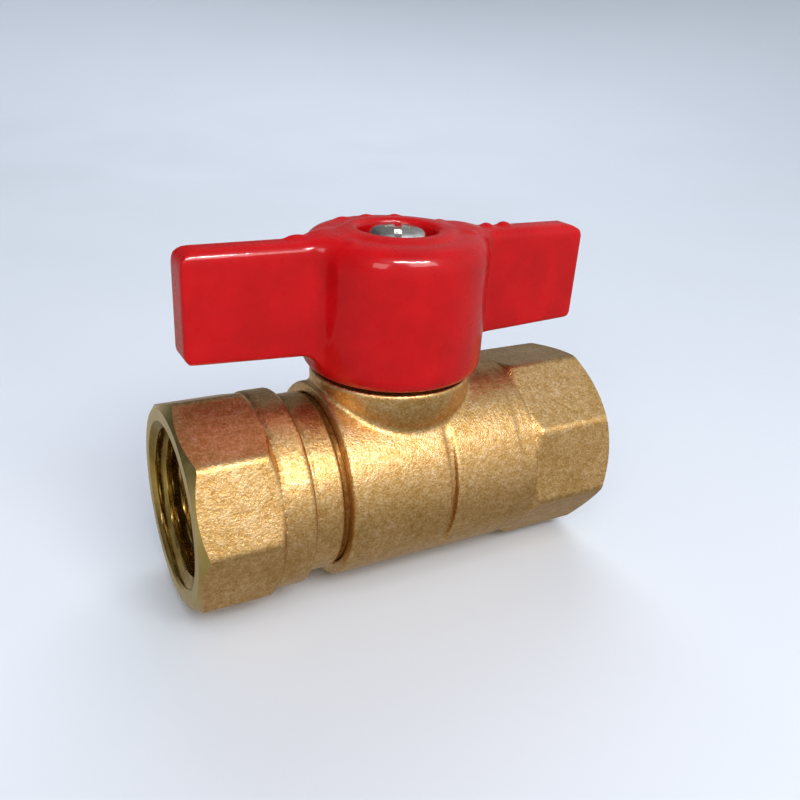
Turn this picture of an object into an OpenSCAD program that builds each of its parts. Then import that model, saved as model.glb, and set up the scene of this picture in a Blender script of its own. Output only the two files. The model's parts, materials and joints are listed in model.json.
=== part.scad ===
// Quarter-turn ball valve with two female pipe-thread ends and a T-shaped lever.
// The flow runs along X from the inlet at -X to the outlet at +X, and the stem stands up along Z.
// The origin is the centre of the ball. The valve is drawn open, with the lever along the pipe.
// Pipe, joint and screw threads are drawn as plain cylinders at the size given for each.

/* [Ports] */
// Length of the valve from the inlet face to the outlet face
face_to_face = 60; // [54:0.5:72]
// Diameter at the thread crests of the two pipe ports
port_bore_d = 18.32; // [15:0.01:22]
// Metal between the port bore and a spanner flat
flat_wall = 3.6; // [2.6:0.1:5]
// Length of the inlet octagon
inlet_octagon_length = 10.5; // [7:0.1:12]
// Length of the round collar behind the inlet octagon
collar_length = 4.4; // [2.5:0.1:5]
// Length of the outlet octagon
outlet_octagon_length = 13.2; // [9:0.1:14.5]
// Turn of the inlet octagon about the flow axis, set by how tight the end cap is
inlet_octagon_turn = 21.5; // [0:0.5:45]
// Turn of the outlet octagon about the flow axis
outlet_octagon_turn = 36.5; // [0:0.5:45]

/* [Ball and body] */
// Diameter of the ball
ball_d = 18.6; // [15:0.1:23]
// Diameter of the flow passage through ball and seats
passage_d = 12; // [9:0.1:13]
// Metal around the screwed joint between body and end cap
joint_wall = 1.6; // [1.2:0.1:3]
// Radius from the stem axis to the outside of the stem boss
boss_r = 9.4; // [8.4:0.1:11.5]

/* [Stem] */
// Diameter of the stem
stem_d = 7.8; // [6.4:0.1:8.6]
// Width of the stem top across its two flats
stem_flats = 5.6; // [4.6:0.1:6.2]

/* [Lever] */
// Length of the lever from tip to tip
lever_length = 55.6; // [44:0.2:80]
// Height of a lever arm at its tip
arm_height = 13.2; // [9:0.1:15]
// Thickness of a lever arm
arm_thickness = 4.8; // [4:0.1:7]
// Height of the lever hub above its skirt edge
hub_height = 17.35; // [16:0.05:24]
// Thickness of the hub skirt
skirt_wall = 1.7; // [1.2:0.1:3]
// Diameter of the lever screw
screw_d = 4; // [3:0.1:4.4]

/* [Hidden] */
$fn = 96;

// Clearances of the fits, all radial.
slip = 0.05;
thread_gap = 0.1;
running_gap = 0.1;
open_gap = 0.3;
cut_past = 1;

// Ports and octagons.
half_length = face_to_face / 2;
across_flats = port_bore_d + 2 * flat_wall;
octagon_r = across_flats / 2 / cos(180 / 8);
chamfer_slope = 1.3;
face_r = across_flats / 2 - 0.4;
mouth_r = port_bore_d / 2 + 1.7;
mouth_depth = 1.2;

// Stem shaft and flange, which the joint has to clear.
stem_r = stem_d / 2;
stem_bore_r = stem_r + running_gap;
flange_r = stem_r + 0.9;
flange_bore_r = flange_r + 0.15;
flange_clear = 0.15;

// Ball, seats and chamber.
ball_r = ball_d / 2;
passage_r = passage_d / 2;
seat_front = ball_r * 0.71;
seat_thickness = 2.9;
seat_back = seat_front + seat_thickness;
pocket_r = ball_r - 0.4;
chamber_r = ball_r + 0.6;
chamber_end = seat_front - 0.6;
slot_w = 3.2;
slot_floor = passage_r + (ball_r - passage_r) * 0.28;
port_web = 5.5;
port_bottom = seat_back + port_web;

// Screwed joint between body and end cap.
joint_r = chamber_r + 1.6;
body_r = joint_r + joint_wall;
joint_shoulder = flange_bore_r + flange_clear;
seal_thickness = 0.7;
seal_rim = 0.15;
cap_inner_end = joint_shoulder + seal_thickness;
body_end_chamfer = 1;
collar_r = across_flats / 2 + 0.2;
collar_edge = 0.9;
neck_r = joint_r + 0.35;
groove_w = 0.8;
groove_r = joint_r - thread_gap - 0.3;
shoulder_slope = 1.2;
shoulder_sink = 0.3;
shoulder_drop = 0.6;

// Flare of the stem boss: it widens upwards and ends in a rim just under the lever.
flare_foot_r = boss_r - 0.4;
flare_r = boss_r + 1.2;
flare_foot = body_r - 4.2;
flare_corner = body_r - 1;
body_end = max(seat_back + 1.3, flare_r + 0.2);

// Crescent grooves on the two sides of the body, between ball chamber and outlet.
crescent_x = ball_r * 0.33;
crescent_w = 1.1;
crescent_depth = 0.8;
crescent_spread = 45;
crescent_rise = body_r * sin(crescent_spread);
crescent_floor = body_r - crescent_depth;
crescent_gap = crescent_floor - body_r * cos(crescent_spread);
crescent_r = (crescent_gap * crescent_gap + crescent_rise * crescent_rise) / (2 * crescent_gap);

// Heights of the stem's flange, tang and seals, from the ball upwards.
flange_bottom = ball_r + 0.45;
flange_thickness = 1.35;
washer_bottom = flange_bottom + flange_thickness;
washer_thickness = 0.8;
washer_top = washer_bottom + washer_thickness;
tang_w = slot_w - 2 * running_gap;
tang_length = 2 * flange_r - 3;
tang_bottom = slot_floor + 0.2;
o_ring_r = 0.52;
o_ring_centre_r = stem_bore_r - o_ring_r - 0.03;
o_ring_groove_r = o_ring_centre_r - o_ring_r - 0.03;
o_ring_groove_w = 1.24;
lower_o_ring_z = washer_top + 0.9;
upper_o_ring_z = lower_o_ring_z + 1.6;
packing_bottom = upper_o_ring_z + 0.9;
packing_r = stem_r + 2.1;
packing_thickness = 1.1;
gland_bottom = packing_bottom + 2 * packing_thickness;
gland_thickness = 1;
nut_bottom = gland_bottom + gland_thickness;
nut_thread_length = 1.8;
boss_top = nut_bottom + nut_thread_length;
nut_head_height = 2.3;
nut_head_r = packing_r + 1.4;
nut_bore_r = stem_r + 0.15;
nut_top = boss_top + nut_head_height;

// Stops: a lug on the boss and a C-shaped rib in the lever hub leave a quarter turn free.
boss_step_r = boss_r - 1.2;
lug_turn = 90;
lug_width = 30;
quarter_turn = 90;
stop_play = 1;
rib_r = boss_step_r + open_gap;

// Lever.
hub_inner_r = boss_r + 0.6;
hub_r = hub_inner_r + skirt_wall;
hub_bottom = body_r + 2.15;
flare_top = hub_bottom - open_gap;
hub_top = hub_bottom + hub_height;
hub_ceiling = nut_top + 1;
rib_bottom = boss_top - 2.6;
rib_height = boss_top - 0.4 - rib_bottom;
lug_bottom = rib_bottom - 0.4;
hub_top_edge = 2;
hub_bottom_edge = 1.4;
recess_r = screw_d / 2 + 2.9;
recess_depth = 2.7;
rim_r = recess_r + 2.2;
rim_rise = 0.5;
recess_floor = hub_top - recess_depth;
stem_top = recess_floor - 0.9;
arm_half = lever_length / 2;
arm_top = hub_top - 0.3;
arm_tip_bottom = arm_top - arm_height;
arm_root_bottom = arm_tip_bottom - 1.3;
arm_corner = 1.6;
arm_edge = 1.5;
arm_fillet = 3;
arm_fillet_y = arm_thickness / 2 + arm_fillet;
arm_fillet_x = sqrt(pow(hub_r + arm_fillet, 2) - arm_fillet_y * arm_fillet_y);

// Lever screw and its lock washer.
lock_washer_thickness = 0.9;
lock_washer_gap = 0.8;
head_bottom = recess_floor + lock_washer_thickness;
head_r = screw_d / 2 + 1.75;
head_height = 2.4;
head_edge = 1.2;
screw_length = 8;
screw_hole_r = screw_d / 2 + slip;
screw_hole_depth = 7;
cross_w = 1.1;
cross_length = 4.2;
cross_depth = 1.3;

// A cylinder along X between two positions.
module along_x(from, to, r) {
    translate([from, 0, 0]) rotate([0, 90, 0]) cylinder(h = to - from, r = r);
}

// A cone along X between two positions.
module cone_x(from, to, r_from, r_to) {
    translate([from, 0, 0]) rotate([0, 90, 0]) cylinder(h = to - from, r1 = r_from, r2 = r_to);
}

// A flat ring standing on a height.
module ring(bottom, height, inner, outer) {
    difference() {
        translate([0, 0, bottom]) cylinder(h = height, r = outer);
        translate([0, 0, bottom - cut_past]) cylinder(h = height + 2 * cut_past, r = inner);
    }
}

// A round ring of wire about Z.
module wire_ring(height, centre_r, wire_r) {
    translate([0, 0, height]) rotate_extrude() translate([centre_r, 0]) circle(r = wire_r);
}

// An octagonal end: a prism trimmed by one cone at its face and by another at its root.
module octagon_end(length, turn, root_r) {
    root = half_length - length - shoulder_sink;
    trimmed = length + shoulder_sink;
    rotate([turn, 0, 0]) intersection() {
        translate([root, 0, 0]) rotate([0, 90, 0]) rotate([0, 0, 180 / 8])
            cylinder(h = trimmed, r = octagon_r, $fn = 8);
        cone_x(root, half_length, face_r + trimmed * chamfer_slope, face_r);
        cone_x(root, half_length, root_r - shoulder_drop,
            root_r - shoulder_drop + trimmed * shoulder_slope);
    }
}

// The threaded port and its countersunk mouth, cut from an end at +X.
module port_cut() {
    along_x(port_bottom, half_length + cut_past, port_bore_d / 2);
    cone_x(half_length - mouth_depth, half_length, port_bore_d / 2, mouth_r);
    along_x(half_length, half_length + cut_past, mouth_r);
}

// A sector of a ring about Z, from a start angle through a width.
module ring_sector(bottom, height, inner, outer, start, width) {
    translate([0, 0, bottom]) rotate([0, 0, start]) rotate_extrude(angle = width)
        translate([inner, 0]) square([outer - inner, height]);
}

// One crescent groove on the -Y side: deepest half way up, fading out above and below.
module crescent_cut() {
    intersection() {
        difference() {
            along_x(crescent_x, crescent_x + crescent_w, body_r + cut_past);
            translate([0, crescent_r - crescent_floor, 0])
                along_x(crescent_x - cut_past, crescent_x + crescent_w + cut_past, crescent_r);
        }
        translate([crescent_x - cut_past, -2 * body_r, -body_r])
            cube([crescent_w + 2 * cut_past, 2 * body_r, 2 * body_r]);
    }
}

// Forged body: ball chamber, flared stem boss with a stop lug, and outlet octagon.
module body() {
    color("goldenrod") difference() {
        union() {
            cone_x(-body_end, -body_end + body_end_chamfer, body_r - body_end_chamfer, body_r);
            along_x(-body_end + body_end_chamfer, half_length - outlet_octagon_length, body_r);
            octagon_end(outlet_octagon_length, outlet_octagon_turn, body_r);
            cylinder(h = flare_foot + slip, r = flare_foot_r);
            translate([0, 0, flare_foot])
                cylinder(h = flare_corner - flare_foot, r1 = flare_foot_r, r2 = flare_r);
            translate([0, 0, flare_corner - slip])
                cylinder(h = flare_top - flare_corner + slip, r = flare_r);
            translate([0, 0, flare_corner]) cylinder(h = lug_bottom - flare_corner, r = boss_r);
            cylinder(h = boss_top, r = boss_step_r);
            ring_sector(lug_bottom - slip, boss_top - lug_bottom + slip, boss_step_r - slip, boss_r,
                lug_turn - lug_width / 2, lug_width);
        }
        crescent_cut();
        mirror([0, 1, 0]) crescent_cut();
        along_x(-body_end - cut_past, -joint_shoulder, joint_r);
        along_x(-joint_shoulder - cut_past, chamber_end, chamber_r);
        along_x(chamber_end - cut_past, seat_back, pocket_r);
        along_x(seat_back - cut_past, port_bottom + cut_past, passage_r);
        port_cut();
        cylinder(h = washer_top, r = flange_bore_r);
        cylinder(h = packing_bottom + cut_past, r = stem_bore_r);
        translate([0, 0, packing_bottom]) cylinder(h = boss_top, r = packing_r);
    }
}

// End cap at the inlet: octagon, round collar, neck and the plug that screws into the body.
module end_cap() {
    neck_start = body_end + groove_w;
    collar_start = half_length - inlet_octagon_length - collar_length;
    color("darkgoldenrod") mirror([1, 0, 0]) difference() {
        union() {
            octagon_end(inlet_octagon_length, -inlet_octagon_turn, collar_r);
            along_x(collar_start + collar_edge, half_length - inlet_octagon_length, collar_r);
            cone_x(collar_start, collar_start + collar_edge, neck_r, collar_r);
            along_x(neck_start, collar_start + slip, neck_r);
            along_x(body_end, neck_start + slip, groove_r);
            along_x(cap_inner_end, body_end + slip, joint_r - thread_gap);
        }
        along_x(cap_inner_end - cut_past, seat_back, pocket_r);
        along_x(seat_back - cut_past, port_bottom + cut_past, passage_r);
        port_cut();
    }
}

// Flat sealing ring squeezed between the end cap and the shoulder in the body.
module joint_seal() {
    color("white") translate([-cap_inner_end, 0, 0]) rotate([0, 90, 0])
        ring(0, seal_thickness, chamber_r + seal_rim, joint_r - seal_rim);
}

// Ball with its flow passage and, across the top, the slot for the stem tang.
module ball() {
    color("silver") difference() {
        sphere(r = ball_r);
        along_x(-ball_d, ball_d, passage_r);
        translate([-slot_w / 2, -ball_d, slot_floor]) cube([slot_w, 2 * ball_d, ball_d]);
    }
}

// Seat ring with a spherical face that bears on the ball.
module seat() {
    difference() {
        along_x(seat_front, seat_back, pocket_r - slip);
        along_x(seat_front - cut_past, seat_back + cut_past, passage_r);
        sphere(r = ball_r + slip);
    }
}

module inlet_seat() {
    color("white") mirror([1, 0, 0]) seat();
}

module outlet_seat() {
    color("white") seat();
}

// Stem put in from inside: tang, flange, shaft with two ring grooves, flattened top, screw hole.
module stem() {
    color("khaki") difference() {
        union() {
            intersection() {
                translate([-tang_w / 2, -tang_length / 2, tang_bottom])
                    cube([tang_w, tang_length, flange_bottom - tang_bottom + slip]);
                translate([0, 0, tang_bottom]) cylinder(h = ball_d, r = flange_r);
            }
            translate([0, 0, flange_bottom]) cylinder(h = flange_thickness, r = flange_r);
            translate([0, 0, flange_bottom]) cylinder(h = hub_ceiling - flange_bottom, r = stem_r);
            intersection() {
                translate([0, 0, hub_ceiling - slip])
                    cylinder(h = stem_top - hub_ceiling + slip, r = stem_r);
                translate([-stem_r, -stem_flats / 2, hub_ceiling - slip])
                    cube([stem_d, stem_flats, stem_top]);
            }
        }
        for (z = [lower_o_ring_z, upper_o_ring_z])
            ring(z - o_ring_groove_w / 2, o_ring_groove_w, o_ring_groove_r, stem_r + cut_past);
        translate([0, 0, stem_top - screw_hole_depth])
            cylinder(h = screw_hole_depth + cut_past, r = screw_hole_r);
    }
}

// Low-friction washer between the stem flange and the body.
module thrust_washer() {
    color("white") ring(washer_bottom, washer_thickness, stem_bore_r, flange_r);
}

module lower_stem_o_ring() {
    color("dimgray") wire_ring(lower_o_ring_z, o_ring_centre_r, o_ring_r);
}

module upper_stem_o_ring() {
    color("dimgray") wire_ring(upper_o_ring_z, o_ring_centre_r, o_ring_r);
}

module lower_packing_ring() {
    color("ivory") ring(packing_bottom, packing_thickness, stem_r + slip, packing_r - slip);
}

module upper_packing_ring() {
    color("ivory")
        ring(packing_bottom + packing_thickness, packing_thickness, stem_r + slip, packing_r - slip);
}

// Ring that carries the pressure of the nut to the packing.
module packing_gland() {
    color("khaki") ring(gland_bottom, gland_thickness, nut_bore_r, packing_r - slip);
}

// Hexagonal nut screwed into the top of the boss.
module packing_nut() {
    color("gold") difference() {
        union() {
            translate([0, 0, nut_bottom])
                cylinder(h = nut_thread_length + slip, r = packing_r - thread_gap);
            translate([0, 0, boss_top]) cylinder(h = nut_head_height, r = nut_head_r, $fn = 6);
        }
        translate([0, 0, nut_bottom - cut_past]) cylinder(h = nut_top, r = nut_bore_r);
    }
}

// Outline of a lever arm seen from the side, from the hub out to the tip.
module arm_outline() {
    polygon([[0, arm_root_bottom], [arm_half - arm_corner, arm_tip_bottom],
        [arm_half, arm_tip_bottom + arm_corner], [arm_half, arm_top - arm_corner],
        [arm_half - arm_corner, arm_top], [0, arm_top]]);
}

// Cross-section of a lever arm, with its two long top edges rounded.
module arm_section() {
    flat_half = arm_thickness / 2 - arm_edge;
    translate([-arm_thickness / 2, hub_bottom])
        square([arm_thickness, arm_top - arm_edge - hub_bottom]);
    translate([-flat_half, hub_bottom]) square([2 * flat_half, arm_top - hub_bottom]);
    for (side = [-1, 1]) translate([side * flat_half, arm_top - arm_edge]) circle(r = arm_edge);
}

// One lever arm towards +X, with the fillets that run it into the hub.
module arm() {
    intersection() {
        rotate([90, 0, 0]) translate([0, 0, -arm_thickness])
            linear_extrude(height = 2 * arm_thickness) arm_outline();
        rotate([90, 0, 90]) linear_extrude(height = lever_length) arm_section();
    }
    for (side = [-1, 1])
        translate([0, 0, arm_root_bottom + arm_corner])
            linear_extrude(height = arm_top - arm_edge - arm_root_bottom - arm_corner)
            difference() {
                polygon([[hub_inner_r, 0], [arm_fillet_x, 0],
                    [arm_fillet_x, side * arm_fillet_y * 0.5], [hub_inner_r, side * arm_fillet_y]]);
                translate([arm_fillet_x, side * arm_fillet_y]) circle(r = arm_fillet);
            }
}

// Round hub with rounded rims and a raised rim for the screw recess, as a solid.
module hub_solid() {
    translate([0, 0, hub_bottom]) cylinder(h = hub_height, r = hub_r - hub_top_edge);
    translate([0, 0, hub_bottom])
        cylinder(h = hub_height - hub_top_edge, r = hub_r - hub_bottom_edge);
    translate([0, 0, hub_bottom + hub_bottom_edge])
        cylinder(h = hub_height - hub_top_edge - hub_bottom_edge, r = hub_r);
    wire_ring(hub_bottom + hub_bottom_edge, hub_r - hub_bottom_edge, hub_bottom_edge);
    wire_ring(hub_top - hub_top_edge, hub_r - hub_top_edge, hub_top_edge);
    translate([0, 0, hub_top - slip])
        cylinder(h = rim_rise + slip, r1 = rim_r, r2 = rim_r - rim_rise);
}

// Lever: hub with a skirt over the boss, stop rib, hole for the stem and two arms.
module lever() {
    rib_start = lug_turn + lug_width / 2 + quarter_turn + stop_play;
    rib_width = 360 - quarter_turn - lug_width - 2 * stop_play;
    color("firebrick") {
        difference() {
            union() {
                hub_solid();
                arm();
                mirror([1, 0, 0]) arm();
            }
            translate([0, 0, hub_bottom - cut_past])
                cylinder(h = hub_ceiling - hub_bottom + cut_past, r = hub_inner_r);
            intersection() {
                translate([0, 0, hub_ceiling - cut_past]) cylinder(h = hub_top, r = stem_r + slip);
                translate([-stem_d, -stem_flats / 2 - slip, hub_ceiling - cut_past])
                    cube([2 * stem_d, stem_flats + 2 * slip, hub_top]);
            }
            translate([0, 0, recess_floor])
                cylinder(h = recess_depth + rim_rise + cut_past, r = recess_r);
        }
        ring_sector(rib_bottom, rib_height, rib_r, hub_inner_r + slip, rib_start, rib_width);
    }
}

// Split spring washer under the screw head.
module lock_washer() {
    color("lightgray") difference() {
        ring(recess_floor, lock_washer_thickness, screw_hole_r + slip, head_r - 0.25);
        translate([0, -lock_washer_gap / 2, recess_floor - cut_past])
            cube([head_r + cut_past, lock_washer_gap, lock_washer_thickness + 2 * cut_past]);
    }
}

// Pan-head screw with a cross recess that holds the lever on the stem.
module lever_screw() {
    color("gainsboro") difference() {
        union() {
            translate([0, 0, head_bottom - screw_length])
                cylinder(h = screw_length + slip, r = screw_d / 2);
            translate([0, 0, head_bottom]) cylinder(h = head_height - head_edge, r = head_r);
            translate([0, 0, head_bottom]) cylinder(h = head_height, r = head_r - head_edge);
            wire_ring(head_bottom + head_height - head_edge, head_r - head_edge, head_edge);
        }
        for (turn = [0, 90])
            translate([0, 0, head_bottom + head_height - cross_depth]) rotate([0, 0, turn])
                translate([-cross_length / 2, -cross_w / 2, 0])
                cube([cross_length, cross_w, cross_depth + cut_past]);
    }
}

body();
end_cap();
joint_seal();
ball();
inlet_seat();
outlet_seat();
stem();
thrust_washer();
lower_stem_o_ring();
upper_stem_o_ring();
lower_packing_ring();
upper_packing_ring();
packing_gland();
packing_nut();
lever();
lock_washer();
lever_screw();
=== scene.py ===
import json
import math

import bmesh
import bpy
import numpy as np
from mathutils import Matrix, Vector


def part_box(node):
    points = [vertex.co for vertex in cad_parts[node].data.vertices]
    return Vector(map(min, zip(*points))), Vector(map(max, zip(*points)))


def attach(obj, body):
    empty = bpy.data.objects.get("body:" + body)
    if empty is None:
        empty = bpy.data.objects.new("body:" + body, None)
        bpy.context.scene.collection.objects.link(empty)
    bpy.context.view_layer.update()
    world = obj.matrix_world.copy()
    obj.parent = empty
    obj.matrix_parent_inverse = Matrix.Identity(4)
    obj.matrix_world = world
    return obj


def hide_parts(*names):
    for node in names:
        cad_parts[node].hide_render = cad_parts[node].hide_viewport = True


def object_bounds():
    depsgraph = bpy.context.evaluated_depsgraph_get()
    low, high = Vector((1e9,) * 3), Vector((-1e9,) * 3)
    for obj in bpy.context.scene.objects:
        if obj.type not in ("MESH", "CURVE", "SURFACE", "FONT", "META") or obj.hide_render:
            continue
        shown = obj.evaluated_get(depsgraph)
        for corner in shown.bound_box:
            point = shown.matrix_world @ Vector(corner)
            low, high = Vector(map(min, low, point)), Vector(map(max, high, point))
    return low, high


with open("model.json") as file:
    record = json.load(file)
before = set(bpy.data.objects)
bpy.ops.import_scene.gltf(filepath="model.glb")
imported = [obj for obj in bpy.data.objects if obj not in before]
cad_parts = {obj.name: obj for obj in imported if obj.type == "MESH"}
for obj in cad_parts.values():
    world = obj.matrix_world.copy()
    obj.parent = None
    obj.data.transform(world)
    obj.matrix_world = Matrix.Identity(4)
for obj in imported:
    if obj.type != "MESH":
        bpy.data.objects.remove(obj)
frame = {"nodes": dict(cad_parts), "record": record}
cad_box = [list(v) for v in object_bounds()]
nodes = frame["nodes"]
scene = bpy.context.scene
MM = 0.001
WELD_GAP = 5e-6                             # metres; points closer than this are one point


# ---------------------------------------------------------------- sizes read from the frame, in mm
def span(name, axis):
    low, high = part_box(name)
    return low[axis] / MM, high[axis] / MM


def mount(name):
    return next(m for m in frame["record"]["mounts"] if m["name"] == name)


BODY_END, HALF = span("body", 0)            # open end of the body, outlet face
BOSS_TOP = span("body", 2)[1]
CAP_INNER = span("end_cap", 0)[1]           # inner end of the end cap
HUB_BOTTOM, RIM_TOP = span("lever", 2)
HUB_R = span("lever", 1)[1]
ARM_TIP = span("lever", 0)[1]
PORT_R = mount("outlet_port")["dims"]["r_mm"]
MOUTH_DEPTH = 1.2
PORT_BOTTOM = HALF - MOUTH_DEPTH - mount("outlet_port")["dims"]["length_mm"]
SEAT_FRONT, SEAT_BACK = span("outlet_seat", 0)
PASSAGE_R = 6.0
POCKET_R = span("outlet_seat", 1)[1] + 0.05
BALL_R = 9.3
CHAMBER_R = BALL_R + 0.6
JOINT_R = CHAMBER_R + 1.6
BODY_R = JOINT_R + 1.6
FLAT_R = PORT_R + 3.6                       # half across flats
FACE_R = FLAT_R - 0.4
COLLAR_R = FLAT_R + 0.2
NECK_R = JOINT_R + 0.35
GROOVE_R = JOINT_R - 0.4
INLET_OCT, COLLAR_LEN, OUTLET_OCT = 10.5, 4.4, 13.2
INLET_TURN, OUTLET_TURN = 21.5, 36.5
HUB_TOP = RIM_TOP - 0.5
ARM_TOP = HUB_TOP - 0.3
RECESS_FLOOR = span("lock_washer", 2)[0]
RECESS_R = 4.9
RIM_R = 7.0
HUB_INNER_R = HUB_R - 1.7
HUB_CEILING = span("packing_nut", 2)[1] + 1
ARM_HEIGHT, ARM_HALF = 13.2, 2.4
ARM_ROOT_DROP = 1.3                         # how much deeper an arm is at the hub than at its tip
BOSS_R = HUB_INNER_R - 0.6
RIB_BOTTOM, RIB_TOP, RIB_R = BOSS_TOP - 2.6, BOSS_TOP - 0.4, BOSS_R - 0.9
LUG_BOTTOM = RIB_BOTTOM - 0.4
FLARE_R, FLARE_TOP = BOSS_R + 1.2, HUB_BOTTOM - 0.3
CRESCENT_X, CRESCENT_WIDTH = BALL_R * 0.33, 1.0
CRESCENT_DEPTH, CRESCENT_SPREAD = 0.8, 45.0
FLANGE_BORE_R = span("stem", 1)[1] + 0.15
STEM_R = 3.9
STEM_FLATS = 5.6
STEM_BORE_R = STEM_R + 0.1
WASHER_TOP = span("thrust_washer", 2)[1]
PACKING_BOTTOM = span("lower_packing_ring", 2)[0]
PACKING_R = span("lower_packing_ring", 1)[1] + 0.05
JOINT_SHOULDER = -span("joint_seal", 0)[1]
CHAMBER_END = SEAT_FRONT - 0.6
PLUG_R = JOINT_R - 0.1
MOUTH_R = PORT_R + 1.7
PIPE_PITCH, PIPE_TOOTH = 1.814, 1.28
PIPE_TAPER = 1 / 32                         # narrowing of the radius per length, 1 in 16 on the diameter
JOINT_PITCH, JOINT_TOOTH = 1.25, 0.45
SCREW_TOP, SCREW_R = span("lever_screw", 2)[1], span("lever_screw", 1)[1]
LUG_TURN, LUG_WIDTH, STOP_PLAY = 90.0, 30.0, 1.0    # degrees; the rib leaves a quarter turn free
QUARTER_TURN = 90
FREE_TURN, FREE_WIDTH = LUG_TURN + QUARTER_TURN / 2, LUG_WIDTH + QUARTER_TURN + 2 * STOP_PLAY
SCREW_SHANK, CROSS_LEN, SLOT_TURN = 2.0, 4.2, 62.0
HEAD_HEIGHT, SCREW_PITCH, SCREW_TOOTH = 2.4, 0.7, 0.42
# plain cast bumps on the lever: x, y, half-length and half-width
PADS = ((-13.2, 0.4, 1.5, 0.75), (13.4, 0.2, 0.8, 0.9), (16.2, 0.3, 0.9, 0.8),
        (-8.9, 2.0, 0.9, 0.7), (-8.2, -3.9, 0.8, 0.8), (-3.6, 8.3, 1.0, 0.7),
        (4.0, 8.1, 0.8, 0.7), (8.3, 3.6, 0.7, 0.9), (8.6, -3.2, 0.8, 0.8), (0.2, 9.0, 0.8, 0.6))
CELL = 0.27


# ---------------------------------------------------------------- camera, as in the photograph
AZIMUTH, ELEVATION, ROLL = -28.4477, 25.0335, 3.0646
DISTANCE, AIM = 108.1, (-2.143, 0.0, 8.541)
FOCAL, CENTRE_X, CENTRE_Y = 1.00305625, 0.4659875, 0.512375    # in frame widths


def make_camera():
    a, e, r = (math.radians(v) for v in (AZIMUTH, ELEVATION, ROLL))
    back = Vector((math.sin(a) * math.cos(e), -math.cos(a) * math.cos(e), math.sin(e)))
    right = Vector((math.cos(a), math.sin(a), 0))
    up = back.cross(right)
    x_axis = right * math.cos(r) + up * math.sin(r)
    y_axis = up * math.cos(r) - right * math.sin(r)
    data = bpy.data.cameras.new("camera")
    data.sensor_width = 36
    data.lens = FOCAL * 36
    data.shift_x, data.shift_y = 0.5 - CENTRE_X, CENTRE_Y - 0.5
    data.clip_start, data.clip_end = 0.005, 20
    cam = bpy.data.objects.new("camera", data)
    scene.collection.objects.link(cam)
    place = (Vector(AIM) + back * DISTANCE) * MM
    rot = Matrix((x_axis, y_axis, back)).transposed().to_4x4()
    cam.matrix_world = Matrix.Translation(place) @ rot
    scene.camera = cam


make_camera()


# ---------------------------------------------------------------- distance fields, in mm
def smin(a, b, k):
    """Union of two fields with a fillet of about k."""
    h = np.clip(0.5 + 0.5 * (b - a) / k, 0, 1)
    return b + (a - b) * h - k * h * (1 - h)


def smax(a, b, k):
    """Intersection of two fields with an edge rounding of about k."""
    return -smin(-a, -b, k)


def slab(v, low, high):
    return np.maximum(low - v, v - high)


def wedge(a, b, middle, width):
    """Sector about the axis of the a, b plane, middle and width in degrees, roughly as a distance."""
    t = math.radians(middle)
    u, v = a * math.cos(t) + b * math.sin(t), -a * math.sin(t) + b * math.cos(t)
    h = math.radians(width) / 2
    return np.abs(v) * math.cos(h) - u * math.sin(h)


def octagon(y, z, turn, edge):
    """Prism along X; turn is the CAD's rotation about X in degrees."""
    t = math.radians(turn)
    a, b = y * math.cos(t) + z * math.sin(t), -y * math.sin(t) + z * math.cos(t)
    d = smax(np.abs(a) - FLAT_R, np.abs(b) - FLAT_R, edge)
    return smax(d, (np.abs(a) + np.abs(b)) * math.sqrt(0.5) - FLAT_R, edge)


def forged_body(x, y, z):
    rr = np.sqrt(y * y + z * z)
    start = HALF - OUTLET_OCT
    # the barrel is a hair thinner past a faint die line before the octagon
    step = 0.1 / (1 + np.exp(-(x - start + 2.6 + 0.1 * np.sin(z * 1.1)) / 0.07))
    main = np.maximum(rr - BODY_R + step, slab(x, BODY_END - 1, start))
    prism = smax(octagon(y, z, OUTLET_TURN, 0.45), slab(x, start - 0.3, HALF + 1), 0.3)
    prism = smax(prism, rr - (BODY_R - 0.6) - 1.2 * (x - start + 0.3), 0.5)
    d = smin(main, prism, 0.2)
    spread = math.radians(CRESCENT_SPREAD)
    rise, floor = BODY_R * math.sin(spread), BODY_R - CRESCENT_DEPTH
    gap = floor - BODY_R * math.cos(spread)
    arc = (gap * gap + rise * rise) / (2 * gap)
    # two crescent grooves, one on each side of the barrel
    for side in (-1, 1):
        outside = arc - np.sqrt((y - side * (floor - arc)) ** 2 + z * z)
        cut = smax(slab(x, CRESCENT_X, CRESCENT_X + CRESCENT_WIDTH), outside, 0.3)
        d = smax(d, -np.maximum(cut, -side * y), 0.3)
    # stem boss: flared foot, plain neck, and the stop lug
    ra = np.sqrt(x * x + y * y)
    cone = ra - BOSS_R + 0.4 - 0.5 * (z - BODY_R + 4.2)
    boss = smax(smax(ra - FLARE_R, cone * 0.9, 1.0), slab(z, 0, FLARE_TOP), 0.5)
    d = smin(d, boss, 0.9)
    d = np.minimum(d, np.maximum(ra - BOSS_R, slab(z, 5, LUG_BOTTOM)))
    d = np.minimum(d, np.maximum(ra - BOSS_R + 1.2, slab(z, 0, BOSS_TOP + 1)))
    lug = smax(smax(ra - BOSS_R, wedge(x, y, LUG_TURN, LUG_WIDTH), 0.3), slab(z, 10, BOSS_TOP + 1), 0.3)
    return np.minimum(d, lug)


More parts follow.
